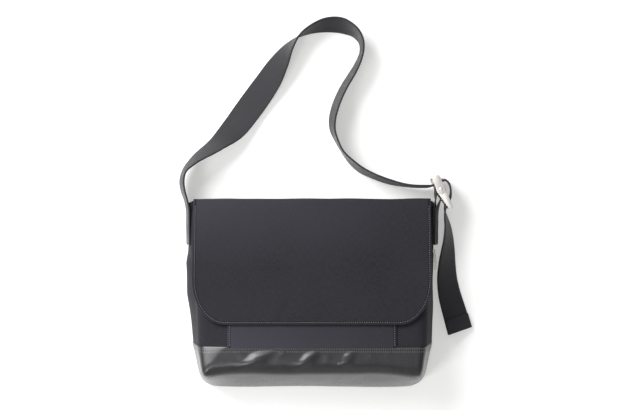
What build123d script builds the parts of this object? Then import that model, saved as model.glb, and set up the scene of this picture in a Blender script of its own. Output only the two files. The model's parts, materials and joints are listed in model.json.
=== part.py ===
"""A canvas messenger bag lying on its back, in millimetres, +Z up.

The bag's mouth points to +Y and its base to -Y.  The back panel lies on the ground plane Z = 0,
and the origin is the middle of that resting face.  The body is a tapered box of sewn panels, the
flap folds over the mouth on two hinge lines, and a shoulder strap runs on edge round a loop from
the left gusset to a lever buckle beside the right gusset, and ends in a free tail.
"""

from build123d import *
from math import atan2, cos, degrees, radians, sin
import os

os.makedirs("parts", exist_ok=True)

# Body: side outline, as distances along Y and heights above the ground.
MOUTH_Y = 131.5  # top edge of the back panel
FRONT_TOP_Y, FRONT_TOP_Z = 115.5, 47.9  # top edge of the front panel, set back from the back's
SEAM_Y, SEAM_Z = -70.0, 84.0  # seam between the canvas and the coated base
CREASE_Y, CREASE_Z = -102.0, 88.0  # bottom edge of the front face
HEEL_Y = -136.0  # where the base's bottom meets the ground

# Body: half widths and slopes of the two sides.
MOUTH_HALF = 176.0
SEAM_HALF = 173.0
SIDE_LEAN = 0.18  # the sides lean in by this much per unit of height
BASE_TAPER = 0.20  # the base narrows by this much per unit of length
CANVAS = 2.0  # thickness of the canvas panels and of the coated base
HEEL_RADIUS = 20.0
CREASE_RADIUS = 9.0
BOARD = 1.2
LINING = 0.8
PLY_GAP = 0.2  # air between plies that lie against each other

# Pocket and flap, measured on the slanting front face.
POCKET_HALF = 117.3
POCKET_DEPTH = 128.0
POCKET_PLY = 1.2
FLAP_HALF = 167.3
FLAP_DROP = 175.0
FLAP_CORNER_X, FLAP_CORNER_V = 46.0, 65.0  # half axes of the rounded lower corners
FLAP_UNDER = 1.9  # the flap's underside clears the front face by this much
FLAP_LINING_PLY, FLAP_OUTER_PLY = 1.0, 1.4
SPINE_THICK = 2.4
SPINE_FROM_Z, SPINE_TO_Z = 2.6, 44.3
SPINE_Y = MOUTH_Y + 1.8
BINDING = 1.0

# Thread: each row is a low bead on its ply.
THREAD_WIDE, THREAD_HIGH = 0.7, 0.4
FLAP_STITCH_IN = 3.0
POCKET_STITCH_IN = 2.6
BASE_STITCH_ROWS = (2.5, 7.0)

# Strap, anchor loop and buckle.
STRAP_WIDE, STRAP_THICK = 40.0, 2.5
LOOP_THICK = 2.2
BAND_FOOT = 4.2  # height of the band's lower edge where the buckle holds it
PIVOT = (181.8, 148.8)
LEVER_TURN = 114.2  # direction of the closed lever, in degrees from +X
TOP_BAR_RADIUS_AT, TOP_BAR_R = 15.2, 2.0
TIP = (195.0, 124.4)
TIP_BAR_R = 2.0
CHEEK = 1.6
LEVER_CHEEK = 1.4
LEVER_FROM, LEVER_TO = 0.6, 48.0
THUMB_R, THUMB_THICK, THUMB_SPREAD = 19.2, 1.8, 17.0
PIN_R, PIN_FIT = 1.6, 0.06
SLEEVE_R = 4.2
LABEL_LONG, LABEL_HIGH, LABEL_PLY = 29.0, 20.0, 0.9


def save(part, name):
    """Labels a finished piece and writes it."""
    part.label = name
    export_step(part, f"parts/{name}.step")


def slope_plane(low, high):
    """The plane across the bag through two points (y, z) of the side outline, facing outwards."""
    run = Vector(0, high[0] - low[0], high[1] - low[1]).normalized()
    return Plane(origin=(0, low[0], low[1]), x_dir=(1, 0, 0), z_dir=Vector(1, 0, 0).cross(run))


def side_plane(half, at_y, taper, side):
    """The plane of one side (side is 1 or -1), with its half width given at a place on the ground."""
    return Plane(origin=(side * half, at_y, 0), z_dir=(side, -taper, SIDE_LEAN))


gusset_taper = (MOUTH_HALF - SEAM_HALF) / (MOUTH_Y - SEAM_Y)
front_plane = slope_plane((SEAM_Y, SEAM_Z), (FRONT_TOP_Y, FRONT_TOP_Z))
base_front_plane = slope_plane((CREASE_Y, CREASE_Z), (SEAM_Y, SEAM_Z))
bottom_plane = slope_plane((HEEL_Y, 0), (CREASE_Y, CREASE_Z))
mouth_plane = slope_plane((FRONT_TOP_Y, FRONT_TOP_Z), (MOUTH_Y, 0))
ground_plane = Plane(origin=(0, 0, 0), z_dir=(0, 0, -1))
gusset_planes = [side_plane(MOUTH_HALF, MOUTH_Y, gusset_taper, s) for s in (1, -1)]
end_planes = [side_plane(SEAM_HALF, SEAM_Y, BASE_TAPER, s) for s in (1, -1)]


def body_form(inset, bottom_inset, mouth_inset, heel_radius, crease_radius):
    """The body's outline shrunk by an inset: a block cut down by the plane of each face."""
    with BuildPart() as form:
        Box(420, 340, 220)
        for plane in (front_plane, base_front_plane, ground_plane, *gusset_planes, *end_planes):
            split(bisect_by=plane.offset(-inset), keep=Keep.BOTTOM)
        split(bisect_by=bottom_plane.offset(-bottom_inset), keep=Keep.BOTTOM)
        split(bisect_by=mouth_plane.offset(-mouth_inset), keep=Keep.BOTTOM)
        upright = [e for e in form.edges() if abs(e.tangent_at(0.5).Z) > 0.5]
        fillet([e for e in upright if e.center().Y < CREASE_Y], radius=heel_radius)
        if crease_radius:
            fillet(form.edges().filter_by(Axis.X).sort_by(Axis.Z)[-1], radius=crease_radius)
    return form.part


OPEN_MOUTH = -12.0  # an inner form runs past the mouth, so that cutting it out leaves the mouth open
outer = body_form(0, 0, 0, HEEL_RADIUS, CREASE_RADIUS)
inner = body_form(CANVAS, CANVAS, OPEN_MOUTH, HEEL_RADIUS - CANVAS, 0)
seam_plane = Plane(origin=(0, SEAM_Y, 0), z_dir=(0, 1, 0))


def body_wall(name, cuts):
    """One wall of the body: the hollow form, kept on the named side of each cutting plane."""
    with BuildPart() as wall:
        add(outer)
        add(inner, mode=Mode.SUBTRACT)
        for plane, keep in cuts:
            split(bisect_by=plane, keep=keep)
    save(wall.part, name)
    return wall.part


above_seam = (seam_plane, Keep.TOP)
inside_front = front_plane.offset(-CANVAS)
above_back = ground_plane.offset(-CANVAS)
body_wall("base_cover", [(seam_plane, Keep.BOTTOM)])
body_wall("back_panel", [above_seam, (above_back, Keep.TOP)])
body_wall("front_panel", [above_seam, (above_back, Keep.BOTTOM), (inside_front, Keep.TOP)])
gusset_cuts = [above_seam, (above_back, Keep.BOTTOM), (inside_front, Keep.BOTTOM)]
body_wall("right_gusset", gusset_cuts + [(Plane.YZ, Keep.TOP)])
body_wall("left_gusset", gusset_cuts + [(Plane.YZ, Keep.BOTTOM)])

# The stiffener lies inside the base's bottom, between the cover and the lining.
board_top = CANVAS + PLY_GAP + BOARD
with BuildPart() as base_board:
    add(body_form(CANVAS + 3, CANVAS + PLY_GAP, 0, HEEL_RADIUS - 5, 0))
    split(bisect_by=bottom_plane.offset(-board_top), keep=Keep.TOP)
save(base_board.part, "base_board")

lining_inset = CANVAS + PLY_GAP
lining_bottom = board_top + PLY_GAP
with BuildPart() as lining:
    add(body_form(lining_inset, lining_bottom, 4.0, HEEL_RADIUS - 4, 0))
    hollow = body_form(lining_inset + LINING, lining_bottom + LINING, OPEN_MOUTH, HEEL_RADIUS - 5, 0)
    add(hollow, mode=Mode.SUBTRACT)
save(lining.part, "lining")

# Binding over the raw edges of the front panel, the gussets and the lining, round the mouth.
with BuildPart() as mouth_binding:
    add(body_form(0, 0, -BINDING, HEEL_RADIUS, 0))
    add(hollow, mode=Mode.SUBTRACT)
    split(bisect_by=mouth_plane.offset(0.1), keep=Keep.TOP)
    split(bisect_by=above_back, keep=Keep.BOTTOM)
save(mouth_binding.part, "mouth_binding")

# Patch pocket on the front face, open at the top under the flap.
with BuildPart() as front_pocket:
    with BuildSketch(front_plane.offset(PLY_GAP)):
        with Locations((0, POCKET_DEPTH / 2 + PLY_GAP)):
            Rectangle(2 * POCKET_HALF, POCKET_DEPTH)
    extrude(amount=POCKET_PLY)
save(front_pocket.part, "front_pocket")

# Flap: two plies with rounded lower corners, sewn together, and the spine over the mouth.
flap_top = (SPINE_Y - 1.2 - SEAM_Y) / front_plane.y_dir.Y
flap_foot = flap_top - FLAP_DROP


def flap_outline(inset):
    """The flap's outline, shrunk by an inset: straight sides, rounded lower corners."""
    half, foot = FLAP_HALF - inset, flap_foot + inset
    rx, rv = FLAP_CORNER_X - inset, FLAP_CORNER_V - inset
    with BuildSketch(Plane.XY) as outline:
        with Locations((0, (flap_top + foot + rv) / 2)):
            Rectangle(2 * half, flap_top - foot - rv)
        with Locations((0, foot + rv / 2)):
            Rectangle(2 * (half - rx), rv)
        with Locations((rx - half, foot + rv), (half - rx, foot + rv)):
            Ellipse(rx, rv)
    return outline.sketch


with BuildPart() as flap_lining:
    with BuildSketch(front_plane.offset(FLAP_UNDER)):
        add(flap_outline(0.6))
    extrude(amount=FLAP_LINING_PLY)
save(flap_lining.part, "flap_lining")

outer_at = FLAP_UNDER + FLAP_LINING_PLY + 0.05
with BuildPart() as flap_outer:
    with BuildSketch(front_plane.offset(outer_at)):
        add(flap_outline(0))
    extrude(amount=FLAP_OUTER_PLY)
save(flap_outer.part, "flap_outer")

with BuildPart() as flap_thread:
    with BuildSketch(front_plane.offset(outer_at + FLAP_OUTER_PLY)):
        add(flap_outline(FLAP_STITCH_IN))
        add(flap_outline(FLAP_STITCH_IN + THREAD_WIDE), mode=Mode.SUBTRACT)
        with Locations((0, flap_top)):
            Rectangle(2 * FLAP_HALF, 16, mode=Mode.SUBTRACT)
    extrude(amount=THREAD_HIGH)
save(flap_thread.part, "flap_thread")

with BuildPart() as flap_spine:
    with BuildSketch(Plane.XY.offset(SPINE_FROM_Z)):
        with Locations((0, SPINE_Y + SPINE_THICK / 2)):
            Rectangle(2 * FLAP_HALF - 2, SPINE_THICK)
    extrude(amount=SPINE_TO_Z - SPINE_FROM_Z)
save(flap_spine.part, "flap_spine")

with BuildPart() as pocket_thread:
    with BuildSketch(front_plane.offset(PLY_GAP + POCKET_PLY)):
        for side in (-1, 1):
            with Locations((side * (POCKET_HALF - POCKET_STITCH_IN), POCKET_DEPTH / 2)):
                Rectangle(THREAD_WIDE, POCKET_DEPTH - 2)
    extrude(amount=THREAD_HIGH)
save(pocket_thread.part, "pocket_thread")

base_front_length = (Vector(0, SEAM_Y, SEAM_Z) - Vector(0, CREASE_Y, CREASE_Z)).length
with BuildPart() as base_thread:
    with BuildSketch(base_front_plane):
        for row in BASE_STITCH_ROWS:
            with Locations((0, base_front_length - row)):
                Rectangle(2 * (SEAM_HALF - SIDE_LEAN * SEAM_Z - 5), THREAD_WIDE)
    extrude(amount=THREAD_HIGH)
save(base_thread.part, "base_thread")

# Strap: its lower edge's route as (x, y, height of the lower edge, lean in degrees).  The lean is
# from upright, positive towards the left of the way the strap runs.
side_angle = degrees(atan2(SIDE_LEAN, 1))
STRAP_ROUTE = [
    (-176.4, 70, BAND_FOOT, -side_angle),
    (-176.8, 98, BAND_FOOT, -side_angle),
    (-177.4, 122, BAND_FOOT, -side_angle),
    (-181, 134, 5, -side_angle),
    (-187.6, 146, 8, -12),
    (-189.6, 160, 10, -13),
    (-185.9, 175.5, 10, -12),
    (-173.6, 194, 7, -19),
    (-146, 220.8, 3, -36),
    (-128.8, 244, 1, -62),
    (-105, 278, 0, -74),
    (-81, 310, 0, -67),
    (-58.5, 338.5, 0, -47),
    (-37.5, 358.3, 0, -23),
    (-18.5, 369.2, 0, -3),
    (1.3, 374.4, 0, 12),
    (22.5, 376, 0, 24),
    (42.9, 374.1, 0, 25),
    (59.4, 368.6, 0, 14),
    (67.9, 359.2, 0, 7),
    (68.9, 347.5, 0, 6),
    (63.6, 333.6, 0, 9),
    (52.6, 315.3, 0, 12.5),
    (42.4, 299.4, 0, 13.5),
    (32.3, 278.8, 0, 14),
    (26.8, 262.2, 0, 13.5),
    (24.6, 247.8, 0, 12),
    (26.4, 232.9, 0, 9),
    (33.9, 217.8, 0, 4),
    (42.8, 202.7, 0, 2),
    (54.8, 185.4, 0, 8),
    (67.3, 174.6, 0, 9.5),
    (85.4, 166, 0, 8),
    (109.3, 157.6, 1, 7),
    (138.6, 153, 3, 3),
    (157, 152, BAND_FOOT, 3),
    (170, 153.2, BAND_FOOT, 2),
    (178.2, 157, BAND_FOOT, 0),
    (184.2, 162.1, BAND_FOOT, -2),
    (190.2, 163.6, BAND_FOOT, -4),
    (195.2, 159.8, BAND_FOOT, -5),
    (198.2, 152.5, BAND_FOOT, -5),
    (198.6, 144.5, BAND_FOOT, -4),
    (197, 137.5, BAND_FOOT, -2),
    (193.6, 131.8, BAND_FOOT, 0),
    (190.6, 126.6, BAND_FOOT, 0),
    (190.3, 118.8, BAND_FOOT, -4),
    (193.6, 109.6, 3.5, -10),
    (197.6, 99.4, 2.5, -15),
    (201.8, 81.6, 1, -23),
    (204.4, 60.8, 0, -33),
    (205.6, 41.6, 0, -41),
    (208, 21, 0, -49),
    (212.8, 1.6, 0, -56),
    (218.2, -14.8, 0, -60),
    (223.8, -32.2, 1, -63),
    (228.8, -48.9, 2, -65),
]

# Anchor loop: up the right gusset, round the sleeve and back down over itself.
LOOP_R = SLEEVE_R + 0.4 + LOOP_THICK / 2
LOOP_ROUTE = [
    (176.9, 70, BAND_FOOT, side_angle),
    (177.3, 98, BAND_FOOT, side_angle),
    (177.6, 120, BAND_FOOT, 9),
    (177.0, 134, BAND_FOOT, 4),
    (PIVOT[0] - LOOP_R, PIVOT[1] - 3, BAND_FOOT, 0),
    (PIVOT[0] - LOOP_R * 0.766, PIVOT[1] + LOOP_R * 0.643, BAND_FOOT, 0),
    (PIVOT[0], PIVOT[1] + LOOP_R, BAND_FOOT, 0),
    (PIVOT[0] + LOOP_R * 0.766, PIVOT[1] + LOOP_R * 0.643, BAND_FOOT, 0),
    (PIVOT[0] + LOOP_R, PIVOT[1] - 3, BAND_FOOT, 0),
    (184.2, 134, BAND_FOOT, -4),
    (181.0, 120, BAND_FOOT, -9),
    (180.1, 98, BAND_FOOT, -side_angle),
    (179.7, 70, BAND_FOOT, -side_angle),
]
FINE_STEP, COARSE_STEP = 4.0, 11.0
FINE_WITHIN = 34.0  # sections are close together within this distance of the buckle's pivot


def lean_at(route, marks, share):
    """The band's lean at a share of its length, on a smooth curve through the route's points."""
    along = share * marks[-1]
    last = len(route) - 1
    i = min(sum(mark <= along for mark in marks[1:]), last - 1)
    rates = []
    for k in (i, i + 1):
        before, after = max(k - 1, 0), min(k + 1, last)
        rates.append((route[after][3] - route[before][3]) / (marks[after] - marks[before]))
    gap = marks[i + 1] - marks[i]
    t = (along - marks[i]) / gap
    start, end = route[i][3], route[i + 1][3]
    rise = (2 * t**3 - 3 * t**2 + 1) * start + (3 * t**2 - 2 * t**3) * end
    return rise + gap * ((t**3 - 2 * t**2 + t) * rates[0] + (t**3 - t**2) * rates[1])


def band_planes(route, width):
    """The planes of a flat band's cross-sections, at its middle, all the way along its route."""
    line = Spline(*[(x, y, z) for x, y, z, _ in route])
    marks = [0.0]
    for a, b in zip(route, route[1:]):
        marks.append(marks[-1] + (Vector(*a[:3]) - Vector(*b[:3])).length)
    shares = [0.0]
    while shares[-1] < 1:
        spot = line @ shares[-1]
        near = (Vector(spot.X, spot.Y) - Vector(*PIVOT)).length < FINE_WITHIN
        step = (FINE_STEP if near else COARSE_STEP) / line.length
        shares.append(1.0 if shares[-1] + 1.5 * step > 1 else shares[-1] + step)
    planes = []
    for share in shares:
        spot, run = line @ share, line % share
        lean = radians(lean_at(route, marks, share))
        level = Vector(run.X, run.Y, 0).normalized()
        up = Vector(-level.Y, level.X, 0) * sin(lean) + Vector(0, 0, cos(lean))
        planes.append(Plane(origin=spot + up * (width / 2), x_dir=up, z_dir=level))
    return planes


with BuildPart() as shoulder_strap:
    for plane in band_planes(STRAP_ROUTE, STRAP_WIDE):
        with BuildSketch(plane):
            Rectangle(STRAP_WIDE, STRAP_THICK)
    loft(ruled=True)
save(shoulder_strap.part, "shoulder_strap")

with BuildPart() as anchor_loop:
    for plane in band_planes(LOOP_ROUTE, STRAP_WIDE):
        with BuildSketch(plane):
            Rectangle(STRAP_WIDE, LOOP_THICK)
    loft(ruled=True)
save(anchor_loop.part, "anchor_loop")

# Buckle: a frame of two cheeks and two bars, a sleeve for the anchor loop, and a thumb lever.
toward = Vector(cos(radians(LEVER_TURN)), sin(radians(LEVER_TURN)), 0)
top_bar = Vector(*PIVOT) + toward * TOP_BAR_RADIUS_AT
low_cheek = LEVER_FROM + LEVER_CHEEK + PLY_GAP
high_cheek = LEVER_TO - LEVER_CHEEK - PLY_GAP - CHEEK

with BuildPart() as buckle_frame:
    for height in (low_cheek, high_cheek):
        with BuildSketch(Plane.XY.offset(height)):
            with Locations((top_bar.X, top_bar.Y)):
                Circle(TOP_BAR_R + 1.8)
            with Locations(PIVOT):
                Circle(6.6)
            with Locations(TIP):
                Circle(TIP_BAR_R + 1.2)
            make_hull()
            with Locations(PIVOT):
                Circle(PIN_R + PIN_FIT, mode=Mode.SUBTRACT)
        extrude(amount=CHEEK)
    with BuildSketch(Plane.XY.offset(low_cheek + CHEEK / 2)):
        with Locations((top_bar.X, top_bar.Y)):
            Circle(TOP_BAR_R)
        with Locations(TIP):
            Circle(TIP_BAR_R)
    extrude(amount=high_cheek - low_cheek)
save(buckle_frame.part, "buckle_frame")

with BuildPart() as anchor_sleeve:
    with BuildSketch(Plane.XY.offset(low_cheek + CHEEK + 0.2)):
        with Locations(PIVOT):
            Circle(SLEEVE_R)
            Circle(PIN_R + PIN_FIT, mode=Mode.SUBTRACT)
    extrude(amount=high_cheek - low_cheek - CHEEK - 0.4)
save(anchor_sleeve.part, "anchor_sleeve")

lever_plane = Plane(origin=(*PIVOT, 0), x_dir=toward, z_dir=(0, 0, 1))
thumb_edge = THUMB_R + THUMB_THICK
with BuildPart() as buckle_lever:
    for height in (LEVER_FROM, LEVER_TO - LEVER_CHEEK):
        with BuildSketch(lever_plane.offset(height)):
            Circle(5.6)
            with Locations((THUMB_R - 4.2, 0)):
                Circle(6.0)
            make_hull()
            Circle(PIN_R + PIN_FIT, mode=Mode.SUBTRACT)
        extrude(amount=LEVER_CHEEK)
    with BuildSketch(lever_plane.offset(LEVER_FROM)):
        with BuildLine():
            inner_arc = CenterArc((0, 0), THUMB_R, -THUMB_SPREAD, 2 * THUMB_SPREAD)
            outer_arc = CenterArc((0, 0), thumb_edge, -THUMB_SPREAD, 2 * THUMB_SPREAD)
            Line(inner_arc @ 0, outer_arc @ 0)
            Line(inner_arc @ 1, outer_arc @ 1)
        make_face()
    extrude(amount=LEVER_TO - LEVER_FROM)
    for height in (LEVER_FROM, LEVER_TO - LEVER_CHEEK):
        with BuildSketch(lever_plane.offset(height)):
            with Locations((THUMB_R - 2, 0)):
                Rectangle(2 * THUMB_THICK + 2, 11)
        extrude(amount=LEVER_CHEEK)
save(buckle_lever.part, "buckle_lever")

with BuildPart() as buckle_pivot_pin:
    with BuildSketch(Plane.XY.offset(0.1)):
        with Locations(PIVOT):
            Circle(PIN_R)
    extrude(amount=LEVER_TO + 0.4)
    with BuildSketch(Plane.XY.offset(0.0)):
        with Locations(PIVOT):
            Circle(3.0)
    extrude(amount=LEVER_FROM - 0.1)
    with BuildSketch(Plane.XY.offset(LEVER_TO + 0.1)):
        with Locations(PIVOT):
            Circle(3.0)
    extrude(amount=1.1)
save(buckle_pivot_pin.part, "buckle_pivot_pin")

# A blank woven label stands off the right gusset, sewn down at its upper end.
label_plane = Plane(
    origin=(MOUTH_HALF - SIDE_LEAN * 30 + 0.6, 64, 30), x_dir=(0.10, -1, 0), z_dir=(1, 0.1, SIDE_LEAN)
)
with BuildPart() as side_label:
    with BuildSketch(label_plane):
        with Locations((LABEL_LONG / 2, -LABEL_HIGH / 2)):
            Rectangle(LABEL_LONG, LABEL_HIGH)
    extrude(amount=LABEL_PLY)
save(side_label.part, "side_label")
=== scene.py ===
"""The looks of a canvas messenger bag lying on its back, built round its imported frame.

Every size is in metres, in the frame's own axes: the mouth points to +Y, the base to -Y, and the
front faces up.  Each operator makes one piece or one group of like pieces, and main() calls them.
"""

import json
import math

import bmesh
import bpy
import numpy as np
from bpy.props import FloatProperty, FloatVectorProperty, PointerProperty
from mathutils import Matrix, Vector, noise
from mathutils.bvhtree import BVHTree


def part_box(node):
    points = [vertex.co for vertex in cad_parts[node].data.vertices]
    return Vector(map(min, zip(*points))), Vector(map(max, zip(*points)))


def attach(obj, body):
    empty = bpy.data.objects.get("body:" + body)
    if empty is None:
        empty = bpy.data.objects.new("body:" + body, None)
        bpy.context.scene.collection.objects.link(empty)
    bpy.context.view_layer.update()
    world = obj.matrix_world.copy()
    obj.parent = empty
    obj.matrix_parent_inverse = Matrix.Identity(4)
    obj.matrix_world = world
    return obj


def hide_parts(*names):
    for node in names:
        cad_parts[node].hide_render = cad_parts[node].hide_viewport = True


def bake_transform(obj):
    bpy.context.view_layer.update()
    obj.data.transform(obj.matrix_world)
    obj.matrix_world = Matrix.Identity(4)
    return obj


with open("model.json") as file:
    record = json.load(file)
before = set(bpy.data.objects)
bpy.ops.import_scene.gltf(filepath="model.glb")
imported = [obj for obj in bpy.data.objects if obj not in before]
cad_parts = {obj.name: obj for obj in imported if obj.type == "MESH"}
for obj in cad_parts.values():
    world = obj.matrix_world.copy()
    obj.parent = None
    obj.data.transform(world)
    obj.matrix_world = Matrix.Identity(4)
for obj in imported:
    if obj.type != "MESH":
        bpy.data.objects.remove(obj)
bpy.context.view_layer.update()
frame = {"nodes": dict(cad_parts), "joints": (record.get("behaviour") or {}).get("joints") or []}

bl_info = {
    "name": "Messenger bag",
    "version": (1, 0, 0),
    "blender": (4, 5, 0),
    "location": "3D View > Sidebar > Bag",
    "description": "Makes a canvas messenger bag with a coated base, a flap and a shoulder strap",
    "category": "Add Mesh",
}

# Places taken from the frame.
BACK_LOW, BACK_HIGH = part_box("back_panel")
FRONT_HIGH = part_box("front_panel")[1]
BASE_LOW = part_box("base_cover")[0]
SPINE_LOW, SPINE_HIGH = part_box("flap_spine")
FLAP_LOW, FLAP_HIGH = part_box("flap_outer")
POCKET_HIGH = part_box("front_pocket")[1]
LABEL_LOW, LABEL_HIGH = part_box("side_label")
PIN_LOW, PIN_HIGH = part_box("buckle_pivot_pin")

SEAM_Y, SEAM_Z = BACK_LOW.y, FRONT_HIGH.z
MOUTH_Y, MOUTH_HALF = BACK_HIGH.y, BACK_HIGH.x
FRONT_TOP_Y, FRONT_TOP_Z = FRONT_HIGH.y, 0.0479
CREASE_Y, CREASE_Z = SEAM_Y - 0.032, SEAM_Z + 0.004
HEEL_Y = BASE_LOW.y
SEAM_HALF = MOUTH_HALF - 0.003
SIDE_LEAN, BASE_TAPER = 0.18, 0.20
SIDE_TAPER = (MOUTH_HALF - SEAM_HALF) / (MOUTH_Y - SEAM_Y)
PIVOT = (PIN_LOW + PIN_HIGH) / 2
FOLD = Vector(next(j for j in frame["joints"] if j["name"] == "flap_fold")["pos_m"])


def slope(low, high):
    """The outward normal of the surface between two points (y, z) of the side outline."""
    run = Vector((0, high[0] - low[0], high[1] - low[1])).normalized()
    return Vector((1, 0, 0)).cross(run)


FRONT_NORMAL = slope((SEAM_Y, SEAM_Z), (FRONT_TOP_Y, FRONT_TOP_Z))
FRONT_UP = Vector((1, 0, 0)).cross(FRONT_NORMAL) * -1  # along the front towards the mouth
SEAM_POINT = Vector((0, SEAM_Y, SEAM_Z))


# ---------------------------------------------------------------- settings


class BagSizes(bpy.types.PropertyGroup):
    """Sizes of the cloth, the thread and the stage."""

    weave: FloatProperty(
        name="Weave", description="Pitch of the canvas threads", default=0.0009, unit="LENGTH",
    )
    coat_weave: FloatProperty(
        name="Coated weave", description="Pitch of the coated cloth's diagonal ribs",
        default=0.0032, unit="LENGTH",
    )
    strap_width: FloatProperty(
        name="Strap width", description="Width of the webbing", default=0.040, unit="LENGTH",
    )
    strap_thick: FloatProperty(
        name="Strap thickness", description="Thickness of the webbing", default=0.0025, unit="LENGTH",
    )
    loop_thick: FloatProperty(
        name="Loop thickness", description="Thickness of the buckle's webbing loop",
        default=0.0022, unit="LENGTH",
    )
    stitch_pitch: FloatProperty(
        name="Stitch pitch", description="Distance from stitch to stitch", default=0.0031, unit="LENGTH",
    )
    stitch_radius: FloatProperty(
        name="Thread radius", description="Radius of the thread", default=0.00045, unit="LENGTH",
    )
    camera_height: FloatProperty(
        name="Camera height", description="Camera's height above the floor", default=2.2, unit="LENGTH",
    )
    view_width: FloatProperty(
        name="View width", description="Width of floor that the camera sees", default=0.9216, unit="LENGTH",
    )


class BagColours(bpy.types.PropertyGroup):
    """Colours of the materials, as linear values."""

    canvas: FloatVectorProperty(
        name="Canvas", description="Cotton canvas", subtype="COLOR", default=(0.0140, 0.0134, 0.0171),
    )
    coated: FloatVectorProperty(
        name="Coated cloth", description="Coated base cloth", subtype="COLOR",
        default=(0.0085, 0.0085, 0.0095),
    )
    webbing: FloatVectorProperty(
        name="Webbing", description="Strap webbing", subtype="COLOR", default=(0.0190, 0.0180, 0.0210),
    )
    lining: FloatVectorProperty(
        name="Lining", description="Woven lining", subtype="COLOR", default=(0.050, 0.050, 0.058),
    )
    thread: FloatVectorProperty(
        name="Thread", description="Sewing thread", subtype="COLOR", default=(0.17, 0.17, 0.185),
    )
    nickel: FloatVectorProperty(
        name="Nickel", description="Satin nickel plate", subtype="COLOR", default=(0.90, 0.87, 0.83),
    )
    label: FloatVectorProperty(
        name="Label", description="Blank woven tape", subtype="COLOR", default=(0.78, 0.73, 0.64),
    )
    board: FloatVectorProperty(
        name="Board", description="Base stiffener", subtype="COLOR", default=(0.10, 0.095, 0.09),
    )
    floor: FloatVectorProperty(
        name="Floor", description="Studio floor", subtype="COLOR", default=(0.70, 0.70, 0.70),
    )


# ---------------------------------------------------------------- shader maths


class Field:
    """A shader socket that takes part in Python arithmetic: each operation adds its Math node."""

    def __init__(self, tree, socket):
        self.tree, self.socket = tree, socket

    def math(self, operation, *others, first=None):
        node = self.tree.nodes.new("ShaderNodeMath")
        node.operation = operation
        values = (first, self) if first is not None else (self, *others)
        for socket, value in zip(node.inputs, values):
            link_or_set(self.tree, socket, value)
        return Field(self.tree, node.outputs[0])

    def __add__(self, other):
        return self.math("ADD", other)

    def __sub__(self, other):
        return self.math("SUBTRACT", other)

    def __rsub__(self, other):
        return self.math("SUBTRACT", first=other)

    def __mul__(self, other):
        return self.math("MULTIPLY", other)

    def __truediv__(self, other):
        return self.math("DIVIDE", other)

    def __neg__(self):
        return self.math("MULTIPLY", -1.0)

    __radd__ = __add__
    __rmul__ = __mul__

    def sine(self):
        return self.math("SINE")

    def size(self):
        return self.math("ABSOLUTE")

    def clamped(self):
        return self.math("MAXIMUM", 0.0).math("MINIMUM", 1.0)


def link_or_set(tree, socket, value):
    """Links a field to a socket, or sets a plain value on it."""
    if isinstance(value, Field):
        tree.links.new(value.socket, socket)
    else:
        socket.default_value = value


class Surface:
    """One material and its nodes."""

    def __init__(self, name):
        self.material = bpy.data.materials.new(name)
        self.material.use_nodes = True
        self.tree = self.material.node_tree
        self.shader = self.tree.nodes["Principled BSDF"]

    def node(self, kind, settings=None, sockets=None, output=0):
        made = self.tree.nodes.new(kind)
        for name, value in (settings or {}).items():
            if name == "stops":
                while len(made.color_ramp.elements) < len(value):
                    made.color_ramp.elements.new(0.5)
                for element, (place, tone) in zip(made.color_ramp.elements, value):
                    element.position, element.color = place, (tone, tone, tone, 1)
            else:
                setattr(made, name, value)
        for key, value in (sockets or {}).items():
            link_or_set(self.tree, made.inputs[key], value)
        return Field(self.tree, made.outputs[output])

    def place(self):
        return self.node("ShaderNodeTexCoord", output=3)

    def cloth(self):
        """The cloth's own coordinates in metres, as a vector and as its two parts."""
        vector = self.node("ShaderNodeUVMap", {"uv_map": "cloth"})
        across = self.node("ShaderNodeSeparateXYZ", sockets={"Vector": vector})
        along = Field(self.tree, across.socket.node.outputs[1])
        return vector, across, along

    def noise(self, vector, scale, detail=3.0, stretch=None):
        if stretch:
            vector = self.node("ShaderNodeMapping", sockets={"Vector": vector, "Scale": stretch})
        return self.node("ShaderNodeTexNoise", sockets={"Vector": vector, "Scale": scale, "Detail": detail})

    def mix(self, share, first, second):
        first = (*first, 1) if isinstance(first, tuple) else first
        second = (*second, 1) if isinstance(second, tuple) else second
        return self.node("ShaderNodeMix", {"data_type": "RGBA"}, {0: share, 6: first, 7: second}, output=2)

    def bump(self, height, strength=1.0):
        """A bump whose height is in metres."""
        return self.node("ShaderNodeBump", sockets={"Strength": strength, "Distance": 1.0, "Height": height})

    def feed(self, **values):
        """Feeds the shader's sockets: words in capitals and small letters, with _ for a space."""
        for name, value in values.items():
            value = (*value, 1) if isinstance(value, tuple) and len(value) == 3 else value
            link_or_set(self.tree, self.shader.inputs[name.replace("_", " ")], value)
        return self.material


def toned(colour, share):
    """A colour made lighter or darker by a share."""
    return tuple(c * share for c in colour)


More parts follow.
